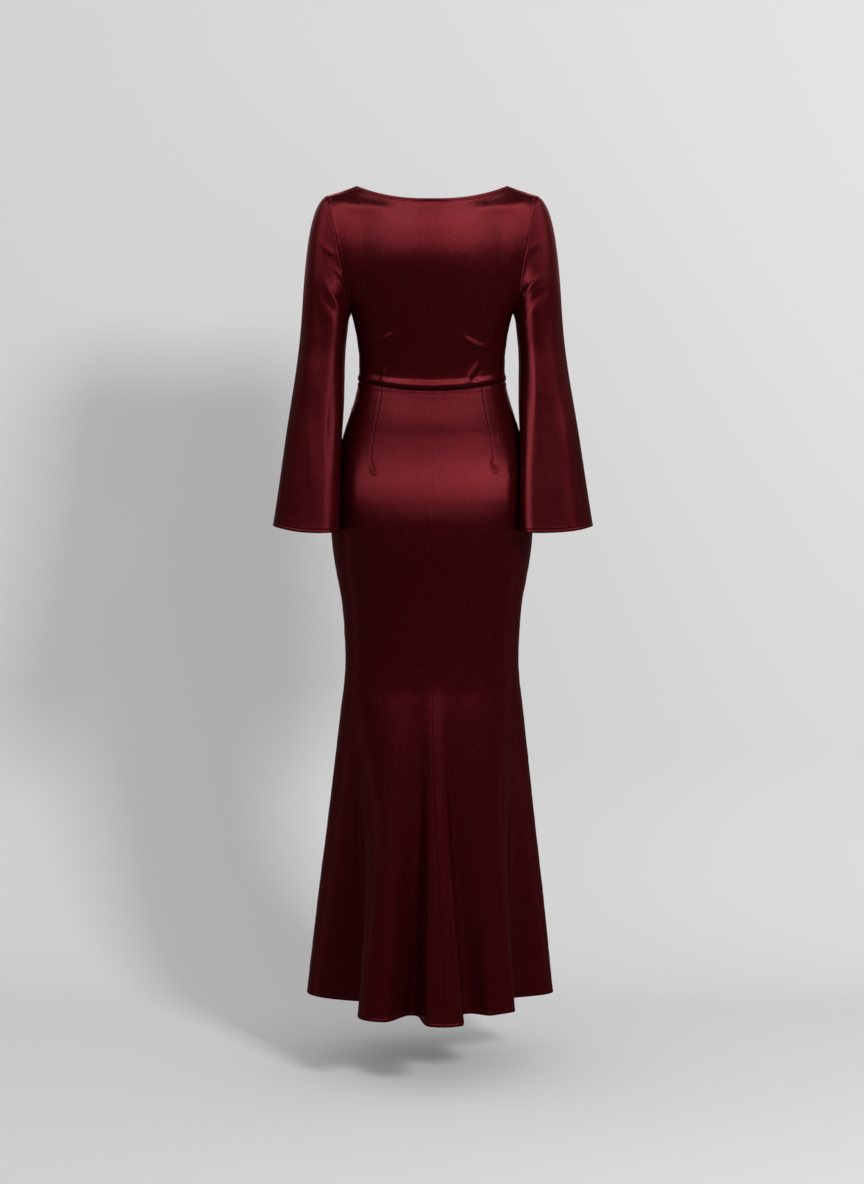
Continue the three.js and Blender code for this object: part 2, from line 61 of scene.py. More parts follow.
# Studio. A pale floor that curves up into a pale wall, rows of soft boxes round the gown that only
# its gloss shows, a small light on the right and a band of light overhead. Below the boxes the room
# is dark, and the lower half of the satin shows that.
BACKDROP_COLOR = (0.8, 0.8, 0.8)
BACKDROP_GLOW = 0.07
FLOOR_Z = -1.56
WALL_Y = 0.85
COVE_RADIUS = 0.45
COVE_STEPS = 16
STAGE_HALF_WIDTH = 7.0
STAGE_FRONT_Y = -7.0
WALL_TOP_Z = 5.0
RING_RADIUS = 1.9
BOX_WIDTH = 0.5
BOX_TURN = 15  # degrees from one box of a row to the next
# the rows of boxes: their heights, their column of RING after the turn, and how much of that
# brightness each kind of piece sees
ROWS = [
    {"low": -0.08, "high": 0.0, "column": 0, "on": {"skirt": 1.0}},
    {"low": 0.04, "high": 0.45, "column": 1, "on": {"skirt": 0.5, "bodice": 1.0, "sleeve": 1.0}},
    {"low": 0.45, "high": 0.75, "column": 2, "on": {"skirt": 0.16, "bodice": 1.0, "sleeve": 0.5}},
    {"low": 0.75, "high": 1.8, "column": 2, "on": {"skirt": 0.65, "bodice": 1.2, "sleeve": 0.8}},
    {"low": 1.8, "high": 2.6, "column": 2, "on": {"bodice": 1.5}},
]
GRIDS_BELOW = 0.0  # boxes that end here or lower have grids, which keep their light on the hips
GRID_SPREAD = math.radians(28)
GRID_AIM = -0.55
# degrees round from behind the gown towards its right, and how bright the lowest row, the second
# row and the rows above it are there
RING = [
    (0, 0.66, 0.08, 1.55),
    (45, 0.76, 0.2, 2.9),
    (65, 0.6, 0.15, 1.5),
    (90, 0.02, 0.1, 0.4),
    (135, 0.02, 0.3, 1.0),
    (180, 0.15, 0.8, 2.2),
    (225, 0.02, 0.3, 1.0),
    (270, 0.01, 0.02, 0.2),
    (295, 0.3, 0.05, 1.2),
    (315, 0.55, 0.05, 2.4),
]
# tall strips of light, each seen in the gloss of one sleeve only
STRIPS = [
    {"turn": 62, "width": 0.9, "low": -0.15, "high": 0.65, "bright": 2.4, "group": "sleeve_left"},
    {"turn": -64, "width": 1.3, "low": -0.15, "high": 0.65, "bright": 4.2, "group": "sleeve_right"},
]
# the pieces that a light can be kept to, by the start of their names
LIT_APART = ("skirt", "bodice", "sleeve", "sleeve_left", "sleeve_right")
SIDE_LIGHT = {"at": (2.0, -3.1, 0.9), "aim": (0, 0, -0.6), "size": (0.7, 0.7), "watts": 75}
ROOM_LIGHT = 0.5
OVERHEAD_LIGHT = 4.1
# from straight down (0) to straight up (1), and how bright the light overhead is there
OVERHEAD_STOPS = [
    (0.0, 0.02),
    (0.76, 0.02),
    (0.86, 0.1),
    (0.9, 0.4),
    (0.925, 1.0),
    (0.945, 0.5),
    (0.965, 0.03),
    (1.0, 0.02),
]
OVERHEAD_ENDS = 5  # how sharply it ends past the top, so the tops of the shoulders stay dark


class Value:
    """A socket in a shader's maths. Python's operators on it add Math nodes."""

    def __init__(self, shader, socket):
        self.shader = shader
        self.socket = socket

    def math(self, operation, *values):
        return self.shader.node("ShaderNodeMath", {"operation": operation}, dict(enumerate(values)))

    def __add__(self, other):
        return self.math("ADD", self, other)

    def __sub__(self, other):
        return self.math("SUBTRACT", self, other)

    def __mul__(self, other):
        return self.math("MULTIPLY", self, other)


class Shader:
    """A node tree that is built from its sockets' values."""

    def __init__(self, owner):
        owner.use_nodes = True
        self.tree = owner.node_tree
        self.tree.nodes.clear()

    def node(self, kind, settings, sockets, output=0):
        """Adds one node: its settings first, then the values and links of its sockets."""
        node = self.tree.nodes.new(kind)
        for name, value in settings.items():
            if name == "stops":
                stops = node.color_ramp.elements
                while len(stops) < len(value):
                    stops.new(0.5)
                for stop, (position, color) in zip(stops, value):
                    stop.position = position
                    stop.color = color
            else:
                setattr(node, name, value)
        for name, value in sockets.items():
            if isinstance(value, Value):
                self.tree.links.new(value.socket, node.inputs[name])
            else:
                node.inputs[name].default_value = value
        return Value(self, node.outputs[output]) if node.outputs else None


def grey(level):
    return (level, level, level, 1)


def stage_material():
    """Pale paper that is seen from its lit side alone, so the gown shows from behind it too."""
    material = bpy.data.materials.new("backdrop")
    paper = Shader(material)
    paint = paper.node("ShaderNodeBsdfDiffuse", {}, {"Color": (*BACKDROP_COLOR, 1)})
    glow = paper.node("ShaderNodeEmission", {}, {"Color": grey(1), "Strength": BACKDROP_GLOW})
    lit = paper.node("ShaderNodeAddShader", {}, {0: paint, 1: glow})
    clear = paper.node("ShaderNodeBsdfTransparent", {}, {})
    behind = paper.node("ShaderNodeNewGeometry", {}, {}, "Backfacing")
    shown = paper.node("ShaderNodeMixShader", {}, {0: behind, 1: lit, 2: clear})
    paper.node("ShaderNodeOutputMaterial", {}, {"Surface": shown})
    return material


profile = [(STAGE_FRONT_Y, FLOOR_Z)]
for step in range(COVE_STEPS + 1):
    turn = math.pi / 2 * step / COVE_STEPS
    y = WALL_Y - COVE_RADIUS * (1 - math.sin(turn))
    profile.append((y, FLOOR_Z + COVE_RADIUS * (1 - math.cos(turn))))
profile.append((WALL_Y, WALL_TOP_Z))
stage_points = [(side * STAGE_HALF_WIDTH, y, z) for y, z in profile for side in (-1, 1)]
stage_faces = [(2 * i, 2 * i + 1, 2 * i + 3, 2 * i + 2) for i in range(len(profile) - 1)]
stage_mesh = bpy.data.meshes.new("backdrop")
stage_mesh.from_pydata(stage_points, [], stage_faces)
stage_mesh.shade_smooth()
stage_mesh.materials.append(stage_material())
backdrop = bpy.data.objects.new("backdrop", stage_mesh)
scene.collection.objects.link(backdrop)
backdrop.visible_diffuse = False
backdrop.visible_glossy = False
backdrop.visible_shadow = False


def soft_box(name, at, aim, size, watts):
    """A flat rectangle of light that the camera doesn't see."""
    panel = bpy.data.lights.new(name, "AREA")
    panel.shape = "RECTANGLE"
    panel.size, panel.size_y = size
    panel.energy = watts
    lamp = bpy.data.objects.new(name, panel)
    scene.collection.objects.link(lamp)
    lamp.location = at
    lamp.rotation_euler = (Vector(at) - Vector(aim)).to_track_quat("Z", "Y").to_euler()
    lamp.visible_camera = False
    return lamp


def ring_box(turn, width, low, high, bright, group):
    """A soft box of the ring, which shows only in the gloss of one group of pieces."""
    round_by = math.radians(turn)
    level = (low + high) / 2
    at = (RING_RADIUS * math.sin(round_by), -RING_RADIUS * math.cos(round_by), level)
    gridded = high <= GRIDS_BELOW
    aim = (0, 0, GRID_AIM if gridded else level)
    size = (width, high - low)
    watts = bright * math.pi * width * (high - low)
    lamp = soft_box(f"box_{group}_{turn}_{low}", at, aim, size, watts)
    if gridded:
        lamp.data.spread = GRID_SPREAD
    lamp.visible_diffuse = False
    lamp.light_linking.receiver_collection = lit[group]


lit = {group: bpy.data.collections.new(group) for group in LIT_APART}
turns, *ring_rows = zip(*RING)
for turn in range(0, 360, BOX_TURN):
    for row in ROWS:
        bright = np.interp(turn, turns, ring_rows[row["column"]], period=360)
        for group, share in row["on"].items():
            ring_box(turn, BOX_WIDTH, row["low"], row["high"], bright * share, group)
for strip in STRIPS:
    ring_box(**strip)
side_light = soft_box("side_light", **SIDE_LIGHT)
side_light.visible_glossy = False

scene.world = bpy.data.worlds.new("room")
room = Shader(scene.world)
facing = room.node("ShaderNodeTexCoord", {}, {}, "Generated")
height = room.node("ShaderNodeSeparateXYZ", {}, {"Vector": facing}, "Z") * 0.5 + 0.5
forwards = room.node("ShaderNodeSeparateXYZ", {}, {"Vector": facing}, "Y") * OVERHEAD_ENDS + 0.5
overhead = room.node(
    "ShaderNodeValToRGB",
    {"stops": [(place, grey(level)) for place, level in OVERHEAD_STOPS]},
    {0: height.math("MAXIMUM", height, forwards)},
)
above = room.node("ShaderNodeBackground", {}, {"Color": overhead, "Strength": OVERHEAD_LIGHT})
plain = room.node("ShaderNodeBackground", {}, {"Color": grey(1), "Strength": ROOM_LIGHT})
in_gloss = room.node("ShaderNodeLightPath", {}, {}, "Is Glossy Ray")
background = room.node("ShaderNodeMixShader", {}, {0: in_gloss, 1: plain, 2: above})
room.node("ShaderNodeOutputWorld", {}, {"Surface": background})

# Bodice back. One panel of satin from the waist seam to a wide, shallow neckline, cut with the
# warp upright. Its neck edge is turned and stitched, and the other edges are sewn to their
# neighbours, where the cloth rolls in to the seam and puckers a little.
CLOTH = 0.7
SEAM_GAP = 0.15  # between the edges of two panels
SEAM_LEAN = 0.3  # the turnings of the waist and skirt seams are pressed to one side
NECK_HALF_WIDTH = 133
SHOULDER_HALF_WIDTH = 183
SHOULDER_DROP = 17
NECK_EDGE = {"back": (66, 30), "front": (74, 40)}  # depth behind or before the neck points, and drop
NECK_PLAN_POWER = 1.7
NECK_DROP_POWER = 2.2
UNDERARM = {"x": 143, "z": -226}
ARMHOLE_HALF_DEPTH = 45
ARMHOLE_SQUARENESS = 0.8
ARMHOLE = {
    "x": (SHOULDER_HALF_WIDTH + UNDERARM["x"]) / 2,
    "z": (UNDERARM["z"] - SHOULDER_DROP) / 2,
    "half_width": (SHOULDER_HALF_WIDTH - UNDERARM["x"]) / 2,
    "half_height": (-SHOULDER_DROP - UNDERARM["z"]) / 2,
}
WAIST_Z = -345
WAIST_DIP = {"back": 17, "front": 6}
WAIST_DIP_ENDS = -450
TOP_SPAN = 55.4  # degrees from the centre to the shoulder point, in the top row
# share of the way from the waist seam up to the underarm, half width, depth behind, depth before
BODICE_SECTIONS = [
    (0, 130.5, 71, 88),
    (0.05, 130.5, 74, 89.5),
    (0.14, 129.2, 69.8, 89),
    (0.2, 129, 69.6, 89.6),
    (0.34, 129.2, 71, 93),
    (0.55, 131.8, 74.5, 104),
    (0.78, 136, 81, 116),
    (1, 143, 87.5, 121),
]
# share of the way from the underarm up to the neckline, depth behind, depth before
BLADE_SECTIONS = [
    (0, 87.5, 121),
    (0.2, 91.5, 117),
    (0.35, 97.4, 110),
    (0.43, 99, 107),
    (0.53, 98.6, 102.5),
    (0.64, 95.4, 97),
    (0.72, 91, 92.5),
    (0.85, 79, 83),
    (1, 66, 74),
]
BUST = {"x": 74, "z": -212, "spread_x": 44, "spread_z": 52, "swell": 13}
SATIN_COLORS = {"dark": (0.03, 0.0013, 0.002, 1), "bright": (0.1, 0.0065, 0.0086, 1)}
SATIN_GLOSS = (0.2, 0.28)
SATIN_METAL = 0.6
SATIN_TINT = (1, 0.2, 0.28, 1)
# the weave is fine grain and longer slubs: their sizes, and how they add up from dark to bright
GRAIN = {"size": 2.1, "share": 1.8, "roughness": 0.6}
SLUB = {"size": 7.0, "share": 0.3, "roughness": 0.5, "stretch": 0.25}
WEAVE_SHIFT = 0.55
WEAVE_DETAIL = 2.0
WEAVE_BUMP = {"Strength": 0.3, "Distance": 0.0006}
TURNED_IN = (1.5, 4.0)  # how deep the sewn edges turn into the gown
NECK_TURNED_IN = 0.2  # the neck's edge is hemmed, so it turns in by this share of that
HEM_CLOTH = 1.5  # the thickness of the two or three layers in a hem
HEM_DEPTH = 5.5
HEM_ENDS_OVER = 1.5
FINE_NEAR_HEM = 14  # how far above a hem the rows stand closer
# ridges and troughs beside a sewn edge: height, distance from the edge, width
SEAM_ROLL = (-0.9, 0, 1.1)
SEAM_SWELL = (0.35, 4, 2.4)
SEAM_PUCKER = (-0.45, 3, 4.5)
HEM_FOLD = (-0.5, 0, 0.6)
HEM_STITCHES = (-1, HEM_DEPTH, 0.9)
ABOVE_HEM = (0.25, HEM_DEPTH + 3, 2.2)
ABOVE_WAIST = (0.9, 7, 4.5)
ARMHOLE_RIDGE = (0.6, 2.4, 1.5)
ARMHOLE_FADE = 20
NECK_FADE = 4
HEM_RISE = {"height": 0.35, "over": 1.2}
PUCKER_SIZES = {"wide": 9, "narrow": 4, "hem": 7}
CREASE_RUNS_ON = 0.02  # how far a crease fades past its ends, as a share of its length
CREASE_FACES = {"from": -0.05, "over": 0.3}  # how far the cloth faces the view where creases fade in


def curve_through(points):
    """A smooth curve through (place, value) points, with no overshoot between them."""
    at, value = (np.array(column, float) for column in zip(*sorted(points)))
    step = np.diff(at)
    slope = np.diff(value) / step
    tangent = np.concatenate([slope[:1], np.zeros(len(slope) - 1), slope[-1:]])
    same_way = slope[:-1] * slope[1:] > 0
    both = slope[:-1] * slope[1:]
    total = np.where(same_way, slope[:-1] + slope[1:], 1)
    tangent[1:-1] = np.where(same_way, 2 * both / total, 0)

    def curve(x):
        i = np.clip(np.searchsorted(at, x, side="right") - 1, 0, len(step) - 1)
        t = np.clip((x - at[i]) / step[i], 0, 1)
        ends = (2 * t**3 - 3 * t**2 + 1) * value[i] + (3 * t**2 - 2 * t**3) * value[i + 1]
        return ends + step[i] * ((t - 2 * t**2 + t**3) * tangent[i] + (t**3 - t**2) * tangent[i + 1])

    return curve


def column_curve(table, column):
    return curve_through([(row[0], row[column]) for row in table])


def mix(a, b, share):
    return a + (b - a) * share


def ease(value):
    value = np.clip(value, 0, 1)
    return value**2 * (3 - 2 * value)


def rounded(value, power):
    return np.sign(value) * np.abs(value) ** power


def spaced(start, end, count, crowding=0.7):
    """Places from start to end that stand closer together near both ends."""
    t = np.linspace(0, 1, count + 1)
    return start + (end - start) * (t - crowding * np.sin(2 * np.pi * t) / (2 * np.pi))


def runs(*stretches):
    """Places along several stretches of (start, end, step)."""
    places = [
        np.linspace(start, end, max(1, round(abs(end - start) / step)), endpoint=False)
        for start, end, step in stretches
    ]
    return np.concatenate(places + [[stretches[-1][1]]])


def outward(points, inside, closed):
    """The unit directions out of the cloth, from the way the neighbouring points run."""
    if closed:
        wide = np.concatenate([points[:, -1:], points, points[:, :1]], axis=1)
        along = (wide[:, 2:] - wide[:, :-2]) / 2
    else:
        along = np.gradient(points, axis=1)
    up = np.gradient(points, axis=0)
    normal = np.cross(along, up)
    normal /= np.maximum(np.linalg.norm(normal, axis=2, keepdims=True), 1e-9)
    if np.sum(normal * (points - inside)) < 0:
        normal = -normal
    return normal


def from_edge(points, axis, end):
    """How far each point lies from the first (0) or last (-1) row (axis 0) or column (axis 1)."""
    step = np.linalg.norm(np.diff(points, axis=axis), axis=2)
    zero = np.zeros_like(np.take(step, [0], axis=axis))
    along = np.concatenate([zero, np.cumsum(step, axis=axis)], axis=axis)
    return along if end == 0 else np.take(along, [-1], axis=axis) - along


def unit(vectors):
    return vectors / np.maximum(np.linalg.norm(vectors, axis=-1, keepdims=True), 1e-9)


def hump(distance, width):
    return np.exp(-((distance / width) ** 2))


def ridge(distance, shape, share=1):
    """A ridge (height over 0) or a trough that runs beside an edge."""
    height, place, width = shape
    return height * share * hump(distance - place, width)


def uneven(places, size, seed):
    """Smooth, repeatable unevenness from -1 to 1 along a line of places."""
    chance = np.random.default_rng(seed)
    low, high = float(np.min(places)) - size, float(np.max(places)) + size
    knots = np.arange(low, high + size, size)
    return curve_through(list(zip(knots, chance.uniform(-1, 1, len(knots)))))(places)


def seam_edge(distance, along, seed):
    """What a sewn edge does to the cloth: it rolls in, swells beside the seam and puckers."""
    wide = uneven(along, PUCKER_SIZES["wide"], seed)
    narrow = uneven(along, PUCKER_SIZES["narrow"], seed + 1)
    pucker = 0.5 + 0.5 * wide + 0.35 * narrow
    rolled = ridge(distance, SEAM_ROLL) + ridge(distance, SEAM_SWELL)
    return rolled + ridge(distance, SEAM_PUCKER, pucker)


def turned_hem(distance, along, seed):
    """A narrow hem: turned in twice, so it is a little thicker, and pulled in at its stitches."""
    pull = 0.5 + 0.5 * uneven(along, PUCKER_SIZES["hem"], seed)
    return (
        HEM_RISE["height"] * ease((HEM_DEPTH - distance) / HEM_RISE["over"])
        + ridge(distance, HEM_STITCHES, 0.45 + 0.25 * pull)
        + ridge(distance, ABOVE_HEM, pull)
        + ridge(distance, HEM_FOLD)
    )


def in_hem(distance):
    """1 in the layers of a hem and 0 above it."""
    return ease((HEM_DEPTH + HEM_ENDS_OVER - distance) / HEM_ENDS_OVER)


def along_curve(points, crease):
    """Signed distance to a crease's curve, and the share of the way along it."""
    (x1, z1), (x2, z2), bend = crease["from"], crease["to"], crease.get("bend", 0)
    length = math.hypot(x2 - x1, z2 - z1)
    ux, uz = (x2 - x1) / length, (z2 - z1) / length
    dx, dz = points[..., 0] - x1, points[..., 2] - z1
    share = (dx * ux + dz * uz) / length
    aside = dx * -uz + dz * ux
    return aside - bend * 4 * share * (1 - share), share


def creases(points, normal, table, facing):
    """Soft ridges (height over 0) and troughs, placed in the view of the back or the front.

    They fade out where the cloth turns away from that view.
    """
    total = np.zeros(points.shape[:2])
    for crease in table:
        aside, share = along_curve(points, crease)
        fade = crease.get("fade", 0.5)
        ends = ease((share + CREASE_RUNS_ON) / fade) * ease((1 + CREASE_RUNS_ON - share) / fade)
        total += crease["height"] * hump(aside, crease["width"]) * ends
    return total * ease((facing * normal[..., 1] - CREASE_FACES["from"]) / CREASE_FACES["over"])


def turned_edge(outer, inner, axis, end, ways):
    """Adds the part of a sewn edge that turns into the gown, at one end of the rows or columns."""
    edge = np.take(outer, [end], axis=axis)
    beside = np.take(outer, [1 if end == 0 else -2], axis=axis)
    back = unit(beside - edge) * CLOTH
    added = [edge + ways * depth for depth in TURNED_IN]
    behind = [piece + back for piece in added]
    if end == 0:
        return (
            np.concatenate(added[::-1] + [outer], axis=axis),
            np.concatenate(behind[::-1] + [inner], axis=axis),
        )
    return np.concatenate([outer, *added], axis=axis), np.concatenate([inner, *behind], axis=axis)


def shell(name, points, inner_points, closed):
    """A thin cloth between these outer and inner points, closed round its edges as one mesh."""
    rows, columns = points.shape[:2]
    outer = points.reshape(-1, 3)
    inner = inner_points.reshape(-1, 3)
    rise = np.arange(rows - 1)
    run = np.arange(columns if closed else columns - 1)
    i, j = (index.ravel() for index in np.meshgrid(rise, run, indexing="ij"))
    after = (j + 1) % columns
    below, above = i * columns, (i + 1) * columns
    front = np.stack([below + j, below + after, above + after, above + j], 1)
    behind = front[:, ::-1] + rows * columns
    edges = []
    for row, flip in ((0, 1), (rows - 1, -1)):
        edges.append((row * columns + run, row * columns + (run + 1) % columns, flip))
    if not closed:
        for column, flip in ((0, -1), (columns - 1, 1)):
            edges.append((rise * columns + column, (rise + 1) * columns + column, flip))
    rims = [
        np.stack([start, start + rows * columns, end + rows * columns, end], 1)[:, ::flip]
        for start, end, flip in edges
    ]
    faces = np.concatenate([front, behind, *rims])
    places = np.concatenate([outer, inner])
    a, b, c = (places[faces[: len(front), k]] for k in (0, 1, 3))
    outwards = np.sum(np.cross(b - a, c - a) * (outer - inner).reshape(rows, columns, 3)[i, j])
    if outwards < 0:
        faces = faces[:, ::-1]
    mesh = bpy.data.meshes.new(name)
    mesh.vertices.add(len(places))
    mesh.vertices.foreach_set("co", (places * MM).astype(np.float32).ravel())
    mesh.loops.add(faces.size)
    mesh.loops.foreach_set("vertex_index", faces.astype(np.int32).ravel())
    mesh.polygons.add(len(faces))
    mesh.polygons.foreach_set("loop_start", np.arange(0, faces.size, 4, dtype=np.int32))
    mesh.update()
    mesh.validate()
    mesh.shade_smooth()
    piece = bpy.data.objects.new(name, mesh)
    scene.collection.objects.link(piece)
    print(name, "triangles", 2 * len(faces), "area", round(surface_area(points), 4))
    return piece


def surface_area(points):
    """The area of the outer face in square metres."""
    a, b = points[:-1, :-1], points[1:, 1:]
    c, d = points[:-1, 1:], points[1:, :-1]
    return float(np.linalg.norm(np.cross(b - a, d - c), axis=2).sum() / 2) * MM * MM


def satin_material():
    """Burgundy satin: glossy threads with the fine uneven grain of the weave."""
    material = bpy.data.materials.new("satin")
    satin = Shader(material)
    place = satin.node("ShaderNodeTexCoord", {}, {}, "Object")
    upright = satin.node("ShaderNodeMapping", {}, {"Vector": place, "Scale": (1, 1, SLUB["stretch"])})
    grain, slub = (
        satin.node(
            "ShaderNodeTexNoise",
            {},
            {
                "Vector": at,
                "Scale": 1 / (MM * noise["size"]),
                "Detail": WEAVE_DETAIL,
                "Roughness": noise["roughness"],
            },
        )
        for at, noise in ((place, GRAIN), (upright, SLUB))
    )
    weave = grain * GRAIN["share"] + slub * SLUB["share"] - WEAVE_SHIFT
    color = satin.node(
        "ShaderNodeMix",
        {"data_type": "RGBA"},
        {"Factor": weave, 6: SATIN_COLORS["dark"], 7: SATIN_COLORS["bright"]},
        2,
    )
    gloss = weave * (SATIN_GLOSS[1] - SATIN_GLOSS[0]) + SATIN_GLOSS[0]
    bump = satin.node("ShaderNodeBump", {}, {**WEAVE_BUMP, "Height": weave})
    surface = satin.node(
        "ShaderNodeBsdfPrincipled",
        {},
        {
            "Base Color": color,
            "Roughness": gloss,
            "Metallic": SATIN_METAL,
            "Specular Tint": SATIN_TINT,
            "Normal": bump,
        },
    )
    satin.node("ShaderNodeOutputMaterial", {}, {"Surface": surface})
    return material


satin = satin_material()


def bodice_rows(side, across):
    """The bodice's surface: from the waist seam to the underarm, then on to the neckline."""
    half_width = column_curve(BODICE_SECTIONS, 1)
    depth = column_curve(BODICE_SECTIONS, 2 if side == "back" else 3)
    blade = column_curve(BLADE_SECTIONS, 1 if side == "back" else 2)
    way = -1 if side == "back" else 1
    a, sign = np.abs(across), np.sign(across)
    rows = []
    quarter = np.radians(90 * a)
    dip = WAIST_DIP[side] * np.cos(quarter) ** 2
    for rise in LOWER_RISES:
        x = sign * half_width(rise) * np.sin(quarter)
        y = way * depth(rise) * np.cos(quarter)
        rows.append(np.stack([x, y, mix(WAIST_Z - dip, UNDERARM["z"], rise)], 1))
    edge_depth, edge_drop = NECK_EDGE[side]
    bottom_depth = blade(0) * np.cos(quarter)
    top_x = SHOULDER_HALF_WIDTH * np.sin(np.radians(TOP_SPAN * a)) / math.sin(math.radians(TOP_SPAN))
    for rise in UPPER_RISES:
        span = mix(90, TOP_SPAN, math.sin(math.radians(90 * rise)))
        turn = np.radians(span * a)
        edge_share = (1 - np.cos(turn)) / (1 - math.cos(math.radians(span)))
        arm = armhole_point(180 * (1 - rise))
        share = np.minimum(top_x / NECK_HALF_WIDTH, 1)
        past = np.clip((top_x - NECK_HALF_WIDTH) / (SHOULDER_HALF_WIDTH - NECK_HALF_WIDTH), 0, 1)
        top_y = edge_depth * (1 - share**NECK_PLAN_POWER)
        top_z = -edge_drop * (1 - share**NECK_DROP_POWER) - SHOULDER_DROP * past
        off_centre = blade(rise) - mix(blade(0), blade(1), rise)
        off_edge = arm[2] - mix(UNDERARM["z"], -SHOULDER_DROP, rise)
        out = mix(bottom_depth, top_y, rise) + off_centre * (1 - edge_share) - arm[1] * edge_share
        x = sign * arm[0] * np.sin(turn) / math.sin(math.radians(span))
        z = mix(UNDERARM["z"], top_z, rise) + off_edge * edge_share
        rows.append(np.stack([x, way * out, z], 1))
    points = np.array(rows)
    if side == "front":
        dx = (np.abs(points[..., 0]) - BUST["x"]) / BUST["spread_x"]
        dz = (points[..., 2] - BUST["z"]) / BUST["spread_z"]
        points[..., 1] += BUST["swell"] * np.exp(-(dx**2) - dz**2)
    return points


def armhole_point(turn):
    """A point of the armhole seam, from the shoulder (0) over the back to the underarm (180)."""
    a = math.radians(turn)
    return (
        ARMHOLE["x"] + ARMHOLE["half_width"] * math.cos(a),
        -ARMHOLE_HALF_DEPTH * float(rounded(math.sin(a), ARMHOLE_SQUARENESS)),
        ARMHOLE["z"] + ARMHOLE["half_height"] * math.cos(a),
    )


BODICE_COLUMNS = 190
# shares of the way up, closer together beside the waist seam and under the neckline
LOWER_RISES = runs((0, 0.16, 0.008), (0.16, 1, 0.018))[:-1]
UPPER_RISES = runs((0, 0.9, 0.013), (0.9, 1, 0.005))
RELAXED_UNDER_ARM = 20  # how many rows below the underarm are evened out with those above it
RELAX_TIMES = 260
BODICE_BACK_CREASES = [
    # the drags that run up from the waist seam
    {"from": (-79, -356), "to": (-76, -304), "bend": 2, "width": 3.5, "height": -1.8, "fade": 0.45},
    {"from": (-91, -356), "to": (-80, -312), "bend": -3, "width": 4.8, "height": 3.2, "fade": 0.5},
    {"from": (88, -308), "to": (58, -358), "bend": -3, "width": 4.4, "height": 3.6, "fade": 0.45},
    {"from": (95, -312), "to": (69, -358), "bend": -3, "width": 4, "height": -1.3, "fade": 0.45},
    {"from": (-96, -284), "to": (-58, -260), "bend": 2, "width": 4.2, "height": 3.0},
    {"from": (44, -260), "to": (110, -288), "bend": -9, "width": 5.2, "height": 4.4},
    {"from": (88, -246), "to": (116, -282), "bend": 3, "width": 3.6, "height": 3.0},
    # the hollows that fall from the shoulders beside the neckline
    {"from": (-174, -31), "to": (-58, -47), "bend": -4, "width": 12, "height": 3.4, "fade": 0.4},
    {"from": (178, -31), "to": (58, -47), "bend": 4, "width": 12, "height": 3.4, "fade": 0.4},
    {"from": (-142, -215), "to": (-110, -160), "bend": -5, "width": 7, "height": -1.2},
    {"from": (144, -212), "to": (112, -150), "bend": 5, "width": 7, "height": -1.3},
]


def relax(points, inside, first, last, times):
    """Lets the cloth between two rows even out, with its edges left where they are."""
    eased = points.copy()
    for _ in range(times):
        around = (
            eased[first - 1 : last - 1, 1:-1]
            + eased[first + 1 : last + 1, 1:-1]
            + eased[first:last, :-2]
            + eased[first:last, 2:]
        )
        eased[first:last, 1:-1] = mix(eased[first:last, 1:-1], around / 4, 0.5)
    normal = outward(points, inside, False)
    return points + normal * np.sum((eased - points) * normal, axis=2, keepdims=True)


def into_waist(edge):
    """The way that the waist seam's turnings lie: inwards, and pressed down."""
    return unit(unit(-edge * [1, 1, 0]) - [0, 0, SEAM_LEAN])


def bodice_panel(side, table, seed):
    """One panel of the bodice: its outer and inner points, with its seams' turnings."""
    across = spaced(-1, 1, BODICE_COLUMNS, 0.5)
    points = bodice_rows(side, across)
    joint = len(LOWER_RISES)
    middle = np.array([0, 0, UNDERARM["z"]])
    points = relax(points, middle, joint - RELAXED_UNDER_ARM, len(points) - 1, RELAX_TIMES)
    points[0, :, 2] += SEAM_GAP / 2
    normal = outward(points, middle, False)
    way = -1 if side == "back" else 1
    relief = creases(points, normal, table, way)
    waist = from_edge(points, 0, 0)
    top = from_edge(points, 0, -1)
    left, right = from_edge(points, 1, 0), from_edge(points, 1, -1)
    sideways, upwards = points[..., 0], points[..., 2]
    relief += seam_edge(waist, sideways, seed) + ridge(waist, ABOVE_WAIST)
    relief += seam_edge(left, upwards, seed + 10) + seam_edge(right, upwards, seed + 20)
    at_arm = ease((upwards - UNDERARM["z"]) / ARMHOLE_FADE)
    relief += ridge(left, ARMHOLE_RIDGE, at_arm) + ridge(right, ARMHOLE_RIDGE, at_arm)
    at_neck = ease((NECK_HALF_WIDTH + NECK_FADE / 2 - np.abs(points[-1:, :, 0])) / NECK_FADE)
    relief += at_neck * turned_hem(top, sideways, seed + 30)
    relief += (1 - at_neck) * seam_edge(top, sideways, seed + 40)
    points = points + normal * relief[..., None]
    normal = outward(points, middle, False)
    points[: joint + 1, [0, -1], 1] = way * SEAM_GAP / 2
    at_neck = np.abs(points[-1:, :, 0]) < NECK_HALF_WIDTH
    inner = points - normal * mix(CLOTH, HEM_CLOTH, at_neck * in_hem(top))[..., None]
    into_neck = np.where(at_neck[..., None], -normal[-1:] * NECK_TURNED_IN, np.array([0, 0, -1.0]))
    outer, inner = turned_edge(points, inner, 0, 0, into_waist(points[:1]))
    outer, inner = turned_edge(outer, inner, 0, -1, into_neck)
    side_seam = slice(joint + len(TURNED_IN) + 1)
    for end in (0, -1):
        edge = outer[:, [end]]
        into = np.stack([0 * edge[..., 0], -edge[..., 1], ARMHOLE["z"] - edge[..., 2]], -1)
        into[side_seam] = -edge[side_seam] * [1, 0, 0]
        outer, inner = turned_edge(outer, inner, 1, end, unit(into))
    return outer, inner


